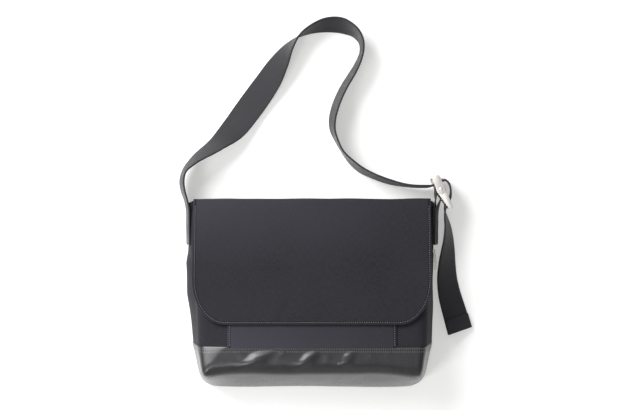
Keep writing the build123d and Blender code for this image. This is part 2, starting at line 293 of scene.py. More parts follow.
def canvas_surface(name, colour, pitch, rim=False):
    """Matt cotton canvas: a plain weave with slubs, uneven in patches."""
    s = Surface(name)
    vector, across, along = s.cloth()
    weave = (across * (math.tau / pitch)).sine() * (along * (math.tau / pitch)).sine()
    slubs_across = s.noise(vector, 520.0, 3.0, stretch=(0.3, 1.6, 1.0))
    slubs_along = s.noise(vector, 520.0, 3.0, stretch=(1.6, 0.3, 1.0))
    slubs = slubs_across + slubs_along
    fibre = s.noise(vector, 1400.0, 2.0)
    patches = s.noise(s.place(), 14.0, 4.0)
    height = weave * 0.00007 + slubs * 0.00009 + fibre * 0.00012
    tone = s.mix(patches, toned(colour, 0.45), toned(colour, 1.45))
    speckle = ((slubs - 1.0) * 1.4 + 0.5).clamped()
    tone = s.mix(speckle, tone, toned(colour, 1.6))
    if rim:
        # A paler tone to the upper left, which stands in for light and isn't wear.
        upper_left = (1.0 - along / 0.14).clamped() * (0.6 - across * 2.5).clamped()
        tone = s.mix(upper_left, tone, toned(colour, 2.9))
        edge = s.node("ShaderNodeAttribute", {"attribute_name": "rim"}, output=2)
        groove = (1.0 - ((edge - 0.0032) / 0.0018).size()).clamped()
        # Painted shade: the tone is darkened along the sunken stitch groove.
        tone = s.mix(groove * 0.9, tone, toned(colour, 0.1))
        pucker = (along * (math.tau / 0.0062) + across * (math.tau / 0.0062)).sine()
        height = height - groove * 0.00035 + groove * pucker * 0.00008
    return s.feed(
        Base_Color=tone, Roughness=0.9, Sheen_Weight=0.06, Sheen_Roughness=0.5, Specular_IOR_Level=0.2,
        Normal=s.bump(height, 0.7),
    )


def webbing_surface(name, colour):
    """Dense twill webbing with ribs along it and firmer edges."""
    s = Surface(name)
    vector, across, along = s.cloth()
    twill = ((across + along * 0.55) * (math.tau / 0.0019)).sine()
    ribs = (across * (math.tau / 0.0010)).sine()
    fibre = s.noise(vector, 1100.0, 3.0)
    wear = s.noise(s.place(), 30.0, 4.0)
    height = twill * 0.00008 + ribs * 0.00004 + fibre * 0.00012
    tone = s.mix(wear, toned(colour, 0.85), toned(colour, 1.2))
    tone = s.mix(((twill + 1.0) * 0.22).clamped(), tone, toned(colour, 1.7))
    return s.feed(
        Base_Color=tone, Roughness=0.75, Sheen_Weight=0.22, Sheen_Roughness=0.35, Specular_IOR_Level=0.3,
        Normal=s.bump(height, 0.7),
    )


def coated_surface(name, colour, pitch):
    """Glossy coated cloth: diagonal ribs under a smooth film, faintly scuffed, with a painted reflection of
    the floor by the heel and on the left side.
    """
    s = Surface(name)
    vector, across, along = s.cloth()
    ribs = ((across + along) * (math.tau / pitch)).sine()
    scuffs_and_reflection = s.noise(s.place(), 60.0, 6.0, stretch=(1.0, 0.4, 1.0))
    grain = s.noise(vector, 500.0, 3.0)
    height = ribs * 0.00012 + grain * 0.00003
    rough = scuffs_and_reflection * 0.10 + ribs * 0.05 + 0.27
    tone = s.mix(scuffs_and_reflection, toned(colour, 0.85), toned(colour, 1.25))
    tone = s.mix((ribs * 0.5 + 0.5) * 0.7, tone, toned(colour, 2.4))
    east = s.node("ShaderNodeSeparateXYZ", sockets={"Vector": s.place()})
    north = Field(s.tree, east.socket.node.outputs[1])
    up = Field(s.tree, east.socket.node.outputs[2])
    # Paler tones at the heel and on the left side, which stand in for reflected floor and aren't wear.
    heel = (1.0 - up / 0.05).clamped() * ((-0.095 - north) / 0.03).clamped()
    left_side = ((-0.168 - east) / 0.008).clamped()
    tone = s.mix(heel * (scuffs_and_reflection * 0.4 + 0.6), tone, toned(colour, 5.0))
    tone = s.mix(left_side * (scuffs_and_reflection * 0.4 + 0.5), tone, toned(colour, 24.0))
    return s.feed(
        Base_Color=tone, Roughness=rough, Specular_IOR_Level=0.5, IOR=1.5, Coat_Weight=0.30,
        Coat_Roughness=0.20, Normal=s.bump(height, 0.7),
    )


def lining_surface(name, colour):
    """Thin close-woven lining with a soft sheen."""
    s = Surface(name)
    _, across, along = s.cloth()
    weave = (across * (math.tau / 0.0006)).sine() * (along * (math.tau / 0.0006)).sine()
    folds = s.noise(s.place(), 22.0, 3.0)
    tone = s.mix(folds, toned(colour, 0.8), toned(colour, 1.2))
    height = weave * 0.00004 + folds * 0.0006
    return s.feed(Base_Color=tone, Roughness=0.62, Sheen_Weight=0.2, Normal=s.bump(height, 0.7))


def thread_surface(name, colour):
    """Twisted polyester thread."""
    s = Surface(name)
    wear = s.noise(s.place(), 220.0, 2.0)
    tone = s.mix(wear, toned(colour, 0.7), toned(colour, 1.6))
    return s.feed(Base_Color=tone, Roughness=0.55, Specular_IOR_Level=0.4)


def nickel_surface(name, colour):
    """Satin nickel: fine brushing, and a few duller handling marks."""
    s = Surface(name)
    brush = s.noise(s.place(), 900.0, 2.0, stretch=(1.0, 0.08, 1.0))
    marks = s.noise(s.place(), 90.0, 5.0)
    tone = s.mix(marks, toned(colour, 0.9), toned(colour, 1.08))
    rough = brush * 0.10 + marks * 0.12 + 0.30
    return s.feed(Base_Color=tone, Metallic=1.0, Roughness=rough, Normal=s.bump(brush * 0.00001, 0.5))


def label_surface(name, colour):
    """Blank cotton tape with fine cross ribs."""
    s = Surface(name)
    vector, _, along = s.cloth()
    ribs = (along * (math.tau / 0.0008)).sine()
    fibre = s.noise(vector, 1500.0, 2.0)
    tone = s.mix(fibre, toned(colour, 0.85), toned(colour, 1.12))
    return s.feed(Base_Color=tone, Roughness=0.85, Normal=s.bump(ribs * 0.00006 + fibre * 0.00008, 0.8))


def board_surface(name, colour):
    """Pressed fibre board."""
    s = Surface(name)
    fibre = s.noise(s.place(), 700.0, 5.0)
    tone = s.mix(fibre, toned(colour, 0.7), toned(colour, 1.3))
    return s.feed(Base_Color=tone, Roughness=0.8, Normal=s.bump(fibre * 0.0001, 0.6))


def floor_surface(name, colour):
    """Even white studio floor, lit a little from below."""
    s = Surface(name)
    return s.feed(
        Base_Color=colour, Roughness=0.9, Specular_IOR_Level=0.1,
        Emission_Color=(1.0, 0.99, 0.97), Emission_Strength=0.40,
    )


MADE = {}


def surface(key):
    """The shared material of that name, made when it is first asked for."""
    colours, sizes = bpy.context.scene.bag_colours, bpy.context.scene.bag_sizes
    if key not in MADE:
        MADE[key] = {
            "canvas": lambda: canvas_surface("canvas", tuple(colours.canvas), sizes.weave),
            "flap_canvas": lambda: canvas_surface(
                "flap_canvas", tuple(colours.canvas), sizes.weave, rim=True
            ),
            "coated_cloth": lambda: coated_surface("coated_cloth", tuple(colours.coated), sizes.coat_weave),
            "webbing": lambda: webbing_surface("webbing", tuple(colours.webbing)),
            "lining_cloth": lambda: lining_surface("lining_cloth", tuple(colours.lining)),
            "thread": lambda: thread_surface("thread", tuple(colours.thread)),
            "nickel": lambda: nickel_surface("nickel", tuple(colours.nickel)),
            "label_cloth": lambda: label_surface("label_cloth", tuple(colours.label)),
            "stiffener": lambda: board_surface("stiffener", tuple(colours.board)),
            "floor": lambda: floor_surface("floor", tuple(colours.floor)),
        }[key]()
    return MADE[key]


# ---------------------------------------------------------------- mesh helpers


def add_patch(bm, columns, rows, place):
    """Adds a grid and puts each of its points where place(x, y) says, x and y running from 0 to 1."""
    made = bmesh.ops.create_grid(bm, x_segments=columns, y_segments=rows, size=0.5)
    for vertex in made["verts"]:
        vertex.co = place(vertex.co.x + 0.5, vertex.co.y + 0.5)
    return made["verts"]


def points_of(bm):
    return np.array([v.co for v in bm.verts], float).reshape(-1, 3)


def put_points(bm, points):
    for vertex, point in zip(bm.verts, points):
        vertex.co = point


def flat_uvs(bm):
    """Gives each face cloth coordinates in metres, seen along the axis that it faces most."""
    layer = bm.loops.layers.uv.new("cloth")
    bm.normal_update()
    for face in bm.faces:
        facing = max(range(3), key=lambda i: abs(face.normal[i]))
        first, second = ((1, 2), (0, 2), (0, 1))[facing]
        for loop in face.loops:
            loop[layer].uv = (loop.vert.co[first], loop.vert.co[second])


def new_piece(name, bm, material, body, nodes=()):
    """Turns a bmesh into a smooth piece that rides on a body and stands for the named nodes."""
    mesh = bpy.data.meshes.new(name)
    bm.normal_update()
    bm.to_mesh(mesh)
    bm.free()
    mesh.polygons.foreach_set("use_smooth", [True] * len(mesh.polygons))
    mesh.materials.append(surface(material))
    piece = bpy.data.objects.new(name, mesh)
    bpy.context.scene.collection.objects.link(piece)
    if body:
        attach(piece, body)
    if nodes:
        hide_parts(*nodes)
    return piece


def thicken(piece, thickness, offset=-1.0, edge=0.0005, segments=2):
    """Gives a sheet its thickness, with rounded cut edges."""
    solid = piece.modifiers.new("thickness", "SOLIDIFY")
    solid.thickness, solid.offset = thickness, offset
    rounding = piece.modifiers.new("edges", "BEVEL")
    rounding.width, rounding.segments = edge, segments
    rounding.limit_method, rounding.angle_limit = "ANGLE", math.radians(50)
    return piece


def settle(piece):
    """Applies a piece's modifiers, so that its mesh is final."""
    evaluated = piece.evaluated_get(bpy.context.evaluated_depsgraph_get())
    mesh = bpy.data.meshes.new_from_object(evaluated)
    piece.modifiers.clear()
    piece.data = mesh
    return piece


# ---------------------------------------------------------------- the body's form


def plane_distance(points, normal, through):
    normal = np.array(normal, float)
    normal /= np.linalg.norm(normal)
    return (points - np.array(through, float)) @ normal


def smooth_max(a, b, blend):
    """The larger of two distances, rounded off where they are nearly equal."""
    near = np.maximum(blend - np.abs(a - b), 0.0)
    return np.maximum(a, b) + near * near / (4 * blend)


def body_distance(points):
    """Distance outside the body's rounded form, sides mirrored about the middle."""
    p = np.stack([np.abs(points[:, 0]), points[:, 1], points[:, 2]], axis=1)
    front = np.maximum(
        plane_distance(p, FRONT_NORMAL, SEAM_POINT),
        plane_distance(p, slope((CREASE_Y, CREASE_Z), (SEAM_Y, SEAM_Z)), SEAM_POINT),
    )
    side = np.maximum(
        plane_distance(p, (1, -SIDE_TAPER, SIDE_LEAN), (MOUTH_HALF, MOUTH_Y, 0)),
        plane_distance(p, (1, -BASE_TAPER, SIDE_LEAN), (SEAM_HALF, SEAM_Y, 0)),
    )
    bottom = plane_distance(p, slope((HEEL_Y, 0), (CREASE_Y, CREASE_Z)), (0, HEEL_Y, 0))
    baseward = np.clip((SEAM_Y + 0.02 - p[:, 1]) / 0.06, 0.0, 1.0)
    whole = smooth_max(front, side, 0.014 - 0.009 * baseward)
    whole = smooth_max(whole, bottom, 0.014)
    low = np.clip(1 - p[:, 2] / 0.06, 0.0, 1.0)
    whole = np.maximum(whole, smooth_max(side, bottom, 0.005 + 0.022 * low))
    return smooth_max(whole, -p[:, 2], 0.006 + 0.010 * baseward)


def body_normals(points):
    step = 1e-4
    steps = step * np.eye(3)
    grown = [body_distance(points + along) - body_distance(points - along) for along in steps]
    normals = np.stack(grown, axis=1) / (2 * step)
    return normals


def onto_body(points, inset):
    """Moves points along the form's own slope until they lie on it, shrunk by an inset."""
    for _ in range(8):
        slopes = body_normals(points)
        steep = np.maximum((slopes**2).sum(1), 0.05)
        points = points - slopes * ((body_distance(points) + inset) / steep)[:, None]
    return points


def body_point(across, along, up):
    """A point of the sharp-edged body: across from -1 to 1, along from 0 at the mouth past 1 at the
    base seam to 2 at the heel, and up from 0 at the back to 1 at the front."""
    stations = (0.0, 1.0, 2.0)
    back_y = np.interp(along, stations, (MOUTH_Y, SEAM_Y, HEEL_Y))
    front_y = np.interp(along, stations, (FRONT_TOP_Y, SEAM_Y, CREASE_Y))
    front_z = np.interp(along, stations, (FRONT_TOP_Z, SEAM_Z, CREASE_Z))
    y, z = back_y + (front_y - back_y) * up, front_z * up
    taper = SIDE_TAPER * (MOUTH_Y - y) if along <= 1 else (MOUTH_HALF - SEAM_HALF) + BASE_TAPER * (SEAM_Y - y)
    return Vector((across * (MOUTH_HALF - taper - SIDE_LEAN * z), y, z))


def body_sleeve(start, end, columns, rows, levels, closed):
    """The body between two places along it, open at the start: front, back, sides and an end wall."""
    bm = bmesh.new()
    span = end - start
    add_patch(bm, columns, rows, lambda x, y: body_point(2 * x - 1, start + span * y, 1.0))
    add_patch(bm, columns, rows, lambda x, y: body_point(2 * x - 1, start + span * y, 0.0))
    for side in (-1, 1):
        add_patch(bm, rows, levels, lambda x, y: body_point(side, start + span * x, y))
    if closed:
        add_patch(bm, columns, levels, lambda x, y: body_point(2 * x - 1, end, y))
    bmesh.ops.remove_doubles(bm, verts=bm.verts[:], dist=1e-5)
    bmesh.ops.recalc_face_normals(bm, faces=bm.faces[:])
    outward = sum((f.normal.z for f in bm.faces if f.calc_center_median().z > SEAM_Z * 0.5))
    if outward < 0:
        bmesh.ops.reverse_faces(bm, faces=bm.faces[:])
    return bm


def ripple(points, scale, stretch=(1, 1, 1), seed=0.0):
    """Soft noise at each point, from about -1 to 1."""
    places = np.asarray(points) * np.asarray(stretch) * scale + np.array((seed, 0.0, 0.0))
    return np.array([noise.noise(Vector(place)) for place in places])


# Folds pressed into the coated base: x at the seam and at the crease, height, half width, and how
# far down the band each one runs.
BASE_FOLDS = [
    (-0.095, -0.105, 0.0008, 0.0050, 0.50),
    (-0.055, -0.095, 0.0036, 0.0145, 1.00),
    (-0.033, -0.060, 0.0012, 0.0060, 0.55),
    (0.010, -0.020, 0.0030, 0.0095, 1.00),
    (0.022, 0.020, 0.0010, 0.0050, 0.70),
    (0.058, 0.041, 0.0022, 0.0080, 1.00),
    (0.083, 0.078, 0.0010, 0.0050, 0.55),
    (0.107, 0.103, 0.0007, 0.0040, 0.45),
]


def base_creases(points, normals):
    """Height of the folds in the base's front band."""
    share = np.clip((SEAM_Y - points[:, 1]) / (SEAM_Y - CREASE_Y), 0.0, 1.4)
    faces_up = np.clip((normals[:, 2] - 0.55) / 0.3, 0.0, 1.0)
    height = np.zeros(len(points))
    for top, low, rise, wide, reach in BASE_FOLDS:
        middle = top + (low - top) * share
        begun = np.clip((share - 0.14) / 0.22, 0.0, 1.0)
        held = begun * np.clip((1.08 * reach - share) / (0.45 * reach), 0.0, 1.0)
        height += rise * held * np.exp(-(((points[:, 0] - middle) / wide) ** 2))
    return height * faces_up


def crease_ends(points):
    """How far the crease's two ends are drawn down towards the heel."""
    outward = np.clip((np.abs(points[:, 0]) - 0.085) / 0.06, 0.0, 1.1)
    near = np.clip(1 - np.abs(points[:, 1] - CREASE_Y) / 0.030, 0.0, 1.0)
    high = np.clip((points[:, 2] - 0.015) / 0.05, 0.0, 1.0)
    return 0.0075 * outward**2 * near * high


def corner_sag(points):
    """How far the front's lower left corner sinks, from a slanting fold line outwards."""
    share = (SEAM_Y - points[:, 1]) / (SEAM_Y - CREASE_Y)
    fold_line = -0.116 - 0.034 * np.clip(share, 0.0, 1.0)
    beyond = np.maximum(fold_line - points[:, 0], 0.0)
    fade = np.clip(1 - np.maximum(points[:, 1] - SEAM_Y, 0.0) / 0.06, 0.0, 1.0) ** 2
    high = np.clip((points[:, 2] - 0.03) / 0.05, 0.0, 1.0)
    return 0.21 * beyond * beyond / (beyond + 0.004) * fade * high


def left_bulge(points):
    """How far the left gusset swells outwards."""
    front_z = SEAM_Z + (FRONT_TOP_Z - SEAM_Z) * (points[:, 1] - SEAM_Y) / (FRONT_TOP_Y - SEAM_Y)
    z = np.clip(points[:, 2], 0.0, None)
    under_strap = np.clip((points[:, 1] - 0.045) / 0.02, 0.0, 1.0)
    under_strap = under_strap * np.clip((MOUTH_Y - points[:, 1]) / 0.008, 0.0, 1.0)
    flat = 0.0036 * np.clip(z / 0.006, 0, 1) * np.clip((front_z - z) / 0.014, 0, 1)
    below = np.clip((points[:, 1] - SEAM_Y) / 0.07, 0.0, 1.0) * (1 - under_strap)
    round_part = 0.0080 * np.sin(math.pi * np.clip(z / (front_z * 0.8), 0, 1)) * below
    return np.where(points[:, 0] < -0.14, flat * under_strap + round_part, 0.0)


# ---------------------------------------------------------------- the flap's form

LEAF_LIFT = max((v.co - SEAM_POINT).dot(FRONT_NORMAL) for v in frame["nodes"]["flap_outer"].data.vertices)
FLAP_HALF = FLAP_HIGH.x
FLAP_TURN = math.acos(-FRONT_UP.z)  # from straight up the spine to down the leaf
FLAP_FACE_Y = SPINE_HIGH.y
FLAP_TOP_Z = SEAM_Z + (LEAF_LIFT - (FLAP_FACE_Y - SEAM_Y) * FRONT_NORMAL.y) / FRONT_NORMAL.z
FLAP_ROUND = 0.007
FLAP_CUT = FLAP_ROUND * math.tan(FLAP_TURN / 2)
SPINE_LENGTH = FLAP_TOP_Z - FLAP_CUT - SPINE_LOW.z
FOLD_LENGTH = FLAP_ROUND * FLAP_TURN
LEAF_LENGTH = (FLAP_FACE_Y - FLAP_LOW.y) / FRONT_UP.y - FLAP_CUT
FLAP_END = SPINE_LENGTH + FOLD_LENGTH + LEAF_LENGTH
CORNER_ACROSS, CORNER_ALONG = 0.046, 0.065  # half axes of the flap's rounded lower corners
CORNER_START = FLAP_END - CORNER_ALONG


def flap_rim(x, at):
    """Distance from a flat point of the flap to its cut edge."""
    inside = abs(x) - (FLAP_HALF - CORNER_ACROSS)
    below = at - CORNER_START
    if inside <= 0 or below <= 0:
        return min(FLAP_HALF - abs(x), FLAP_END - at)
    reach = math.hypot(inside / CORNER_ACROSS, below / CORNER_ALONG)
    angle = math.atan2(below / CORNER_ALONG, inside / CORNER_ACROSS)
    wide, tall = CORNER_ALONG * math.cos(angle), CORNER_ACROSS * math.sin(angle)
    return (1 - reach) * CORNER_ACROSS * CORNER_ALONG / math.hypot(wide, tall)


def flap_softness(x, at):
    """How far the soft cloth lies above or below its even form."""
    broad = noise.noise(Vector((x * 9, at * 12, 3.7))) * 0.0013
    puffs = noise.noise(Vector((x * 24, at * 30, 9.1))) * (0.0003 + 0.0006 * max(1 - at / 0.12, 0))
    along = (FLAP_END - at) / 0.045
    beside = x + 0.047 - 0.022 * along
    crease = -0.0009 * math.exp(-((beside / 0.006) ** 2)) * min(max(1.2 - along, 0), 1)
    lifted = 0.0014 * math.exp(-flap_rim(x, at) / 0.010) * min(max((at - SPINE_LENGTH - 0.06) / 0.05, 0), 1)
    return broad + puffs + crease + lifted


def flap_point(x, at, lift=0.0):
    """A point of the flap: x across, a length along it from its root, lifted off its outer face."""
    if at <= SPINE_LENGTH:
        y, z, normal = FLAP_FACE_Y, SPINE_LOW.z + at, Vector((0, 1, 0))
    elif at <= SPINE_LENGTH + FOLD_LENGTH:
        angle = (at - SPINE_LENGTH) / FLAP_ROUND
        normal = Vector((0, math.cos(angle), math.sin(angle)))
        centre_y, centre_z = FLAP_FACE_Y - FLAP_ROUND, SPINE_LOW.z + SPINE_LENGTH
        y, z = centre_y + FLAP_ROUND * normal.y, centre_z + FLAP_ROUND * normal.z
    else:
        rest = at - SPINE_LENGTH - FOLD_LENGTH + FLAP_CUT
        y, z, normal = FLAP_FACE_Y - FRONT_UP.y * rest, FLAP_TOP_Z - FRONT_UP.z * rest, FRONT_NORMAL
    return Vector((x, y, z)) + normal * (lift + flap_softness(x, at)), normal


def flap_sheet(start, end, inset, lift, columns, rows):
    """Part of the flap as a sheet, with its cloth coordinates and its distance to the edge."""
    bm = bmesh.new()
    rim = bm.verts.layers.float.new("rim")
    last = min(end, FLAP_END - inset)
    turn_rows = 0.4 if last > CORNER_START else 0.0

    def place_flat(x, y):
        if turn_rows and y > 1 - turn_rows:
            angle = (y - 1 + turn_rows) / turn_rows * math.pi / 2
            at = CORNER_START + (last - CORNER_START) * math.sin(angle)
            half = FLAP_HALF - inset - (CORNER_ACROSS - inset) * (1 - math.cos(angle))
        else:
            stop = CORNER_START if turn_rows else last
            at = start + (stop - start) * y / (1 - turn_rows)
            half = FLAP_HALF - inset
        return Vector(((2 * x - 1) * half, at, 0))

    add_patch(bm, columns, rows, place_flat)
    layer = bm.loops.layers.uv.new("cloth")
    for face in bm.faces:
        for loop in face.loops:
            loop[layer].uv = loop.vert.co.xy
    for vertex in bm.verts:
        vertex[rim] = flap_rim(vertex.co.x, vertex.co.y)
        vertex.co = flap_point(vertex.co.x, vertex.co.y, lift)[0]
    bm.normal_update()
    if sum(f.normal.z + f.normal.y for f in bm.faces) < 0:
        bmesh.ops.reverse_faces(bm, faces=bm.faces[:])
    return bm


# ---------------------------------------------------------------- bands of webbing

SIDE_ANGLE = math.degrees(math.atan(SIDE_LEAN))
BAND_FOOT = 0.0042

# The strap's lower edge: x, y and height in metres, and the lean from upright in degrees, positive
# towards the left of the way that the strap runs.
STRAP_ROUTE = [
    (-0.1798, 0.07, BAND_FOOT, -SIDE_ANGLE),
    (-0.1803, 0.098, BAND_FOOT, -SIDE_ANGLE),
    (-0.1809, 0.122, BAND_FOOT, -SIDE_ANGLE),
    (-0.1835, 0.134, 0.005, -SIDE_ANGLE),
    (-0.1876, 0.146, 0.008, -12),
    (-0.1896, 0.16, 0.01, -13),
    (-0.1859, 0.1755, 0.01, -12),
    (-0.1736, 0.194, 0.007, -19),
    (-0.146, 0.2208, 0.003, -36),
    (-0.1288, 0.244, 0.001, -62),
    (-0.105, 0.278, 0, -74),
    (-0.081, 0.31, 0, -67),
    (-0.0585, 0.3385, 0, -47),
    (-0.0375, 0.3583, 0, -23),
    (-0.0185, 0.3692, 0, -3),
    (0.0013, 0.3744, 0, 12),
    (0.0225, 0.376, 0, 24),
    (0.0429, 0.3741, 0, 25),
    (0.0594, 0.3686, 0, 14),
    (0.0679, 0.3592, 0, 7),
    (0.0689, 0.3475, 0, 6),
    (0.0636, 0.3336, 0, 9),
    (0.0526, 0.3153, 0, 12.5),
    (0.0424, 0.2994, 0, 13.5),
    (0.0323, 0.2788, 0, 14),
    (0.0268, 0.2622, 0, 13.5),
    (0.0246, 0.2478, 0, 12),
    (0.0264, 0.2329, 0, 9),
    (0.0339, 0.2178, 0, 4),
    (0.0428, 0.2027, 0, 2),
    (0.0548, 0.1854, 0, 8),
    (0.0673, 0.1746, 0, 9.5),
    (0.0854, 0.166, 0, 8),
    (0.1093, 0.1576, 0.001, 7),
    (0.1386, 0.153, 0.003, 3),
    (0.157, 0.152, BAND_FOOT, 3),
    (0.17, 0.1532, BAND_FOOT, 2),
    (0.1782, 0.157, BAND_FOOT, 0),
    (0.1842, 0.1621, BAND_FOOT, -2),
    (0.1902, 0.1636, BAND_FOOT, -4),
    (0.1952, 0.1598, BAND_FOOT, -5),
    (0.1982, 0.1525, BAND_FOOT, -5),
    (0.1986, 0.1445, BAND_FOOT, -4),
    (0.197, 0.1375, BAND_FOOT, -2),
    (0.1936, 0.1318, BAND_FOOT, 0),
    (0.1906, 0.1266, BAND_FOOT, 0),
    (0.1903, 0.1188, BAND_FOOT, -4),
    (0.1936, 0.1096, 0.0035, -10),
    (0.1976, 0.0994, 0.0025, -15),
    (0.2018, 0.0816, 0.001, -23),
    (0.2044, 0.0608, 0, -33),
    (0.2056, 0.0416, 0, -41),
    (0.208, 0.021, 0, -49),
    (0.2128, 0.0016, 0, -56),
    (0.2182, -0.0148, 0, -60),
    (0.2238, -0.0322, 0.001, -63),
    (0.2288, -0.0489, 0.002, -65),
]

LOOP_R = 0.0057  # from the pivot to the middle of the loop's webbing
LOOP_ROUTE = [
    (0.1769, 0.070, BAND_FOOT, SIDE_ANGLE),
    (0.1773, 0.098, BAND_FOOT, SIDE_ANGLE),
    (0.1776, 0.120, BAND_FOOT, 9),
    (0.1770, 0.134, BAND_FOOT, 4),
    (PIVOT.x - LOOP_R, PIVOT.y - 0.003, BAND_FOOT, 0),
    (PIVOT.x - LOOP_R * 0.766, PIVOT.y + LOOP_R * 0.643, BAND_FOOT, 0),
    (PIVOT.x, PIVOT.y + LOOP_R, BAND_FOOT, 0),
    (PIVOT.x + LOOP_R * 0.766, PIVOT.y + LOOP_R * 0.643, BAND_FOOT, 0),
    (PIVOT.x + LOOP_R, PIVOT.y - 0.003, BAND_FOOT, 0),
    (0.1842, 0.134, BAND_FOOT, -4),
    (0.1810, 0.120, BAND_FOOT, -9),
    (0.1801, 0.098, BAND_FOOT, -SIDE_ANGLE),
    (0.1797, 0.070, BAND_FOOT, -SIDE_ANGLE),
]


class Band:
    """A flat band standing on its route: a smooth line through the route's points, evenly divided."""

    def __init__(self, route, width, step):
        self.width = width
        points = np.array(route, float)
        steps = np.linalg.norm(np.diff(points[:, :3], axis=0), axis=1)
        marks = np.concatenate([[0], np.cumsum(steps)])
        slopes = np.gradient(points, marks, axis=0)
        dense = np.linspace(0, marks[-1], 60 * len(route))
        k = np.clip(np.searchsorted(marks, dense, side="right") - 1, 0, len(route) - 2)
        gap = marks[k + 1] - marks[k]
        t = (dense - marks[k]) / gap
        h = np.stack([2 * t**3 - 3 * t**2 + 1, t**3 - 2 * t**2 + t, 3 * t**2 - 2 * t**3, t**3 - t**2], axis=1)
        curve = (
            h[:, 0:1] * points[k] + h[:, 1:2] * gap[:, None] * slopes[k]
            + h[:, 2:3] * points[k + 1] + h[:, 3:4] * gap[:, None] * slopes[k + 1]
        )
        line, lean = curve[:, :3], curve[:, 3]
        run = np.concatenate([[0], np.cumsum(np.linalg.norm(np.diff(line, axis=0), axis=1))])
        self.length = run[-1]
        self.count = max(int(self.length / step), 8)
        even = np.linspace(0, self.length, self.count + 1)
        self.foot = np.stack([np.interp(even, run, line[:, i]) for i in range(3)], axis=1)
        lean = np.radians(np.interp(even, run, lean))
        level = np.gradient(self.foot, axis=0) * (1, 1, 0)
        level /= np.linalg.norm(level, axis=1)[:, None]
        left = np.stack([-level[:, 1], level[:, 0], 0 * lean], axis=1)
        self.up = left * np.sin(lean)[:, None] + np.array((0, 0, 1)) * np.cos(lean)[:, None]
        self.face = np.cross(level, self.up)

    def at(self, across, along, lift=0.0, cup=0.0):
        """A point of the band: across and along from 0 to 1, lifted off it, its middle cupped."""
        place = min(max(along, 0.0), 1.0) * self.count
        i = min(int(place), self.count - 1)
        t = place - i
        foot, up, face = (v[i] * (1 - t) + v[i + 1] * t for v in (self.foot, self.up, self.face))
        return Vector(foot + up * across * self.width + face * (lift + cup * 4 * across * (1 - across)))

    def normal(self, along):
        return Vector(self.face[min(int(along * self.count), self.count)])

    def sheet(self, across_cells, start=0.0, end=1.0, lift=0.0, cup=0.0, trim=0.0):
        """The band between two shares of its length, with its cloth coordinates."""
        bm = bmesh.new()
        rows = max(int(self.count * (end - start)), 4)

        def place_on_band(x, y):
            return Vector((trim + (1 - 2 * trim) * x, start + (end - start) * y, 0))

        add_patch(bm, across_cells, rows, place_on_band)
        layer = bm.loops.layers.uv.new("cloth")
        for face in bm.faces:
            for loop in face.loops:
                loop[layer].uv = (loop.vert.co.x * self.width, loop.vert.co.y * self.length)
        for vertex in bm.verts:
            vertex.co = self.at(vertex.co.x, vertex.co.y, lift, cup)
        return bm


# ---------------------------------------------------------------- stitches


def add_stitches(bm, path, normals, sizes):
    """Lays one bead of thread after another along a path, each sunk a little into the cloth."""
    spots = [Vector(p) for p in path]
    marks = [0.0]
    for a, b in zip(spots, spots[1:]):
        marks.append(marks[-1] + (b - a).length)
    count = max(int(marks[-1] / sizes.stitch_pitch), 1)
    pitch = marks[-1] / count

    def along(distance):
        for i in range(len(spots) - 1):
            if distance <= marks[i + 1] or i == len(spots) - 2:
                t = (distance - marks[i]) / max(marks[i + 1] - marks[i], 1e-9)
                return spots[i].lerp(spots[i + 1], t), Vector(normals[i]).lerp(Vector(normals[i + 1]), t)

    for n in range(count):
        centre, up = along((n + 0.5) * pitch)
        run = (along((n + 0.8) * pitch)[0] - along((n + 0.2) * pitch)[0]).normalized()
        side = up.cross(run).normalized()
        up = run.cross(side)
        turn = Matrix((run * pitch * 0.30, side * sizes.stitch_radius, up * sizes.stitch_radius)).transposed()
        matrix = Matrix.Translation(centre + up * sizes.stitch_radius * 0.15) @ turn.to_4x4()
        bmesh.ops.create_uvsphere(bm, u_segments=6, v_segments=5, radius=1.0, matrix=matrix)


def snapped(path, piece):
    """Puts each point of a path on a piece's nearest surface, and gives the normals there."""
    tree = BVHTree.FromObject(piece, bpy.context.evaluated_depsgraph_get())
    found = [tree.find_nearest(Vector(p)) for p in path]
    return [f[0] for f in found], [f[1] for f in found]


def straight(a, b, count):
    """Evenly spaced points from one to another."""
    return [Vector(a).lerp(Vector(b), i / (count - 1)) for i in range(count)]


# ---------------------------------------------------------------- the pieces


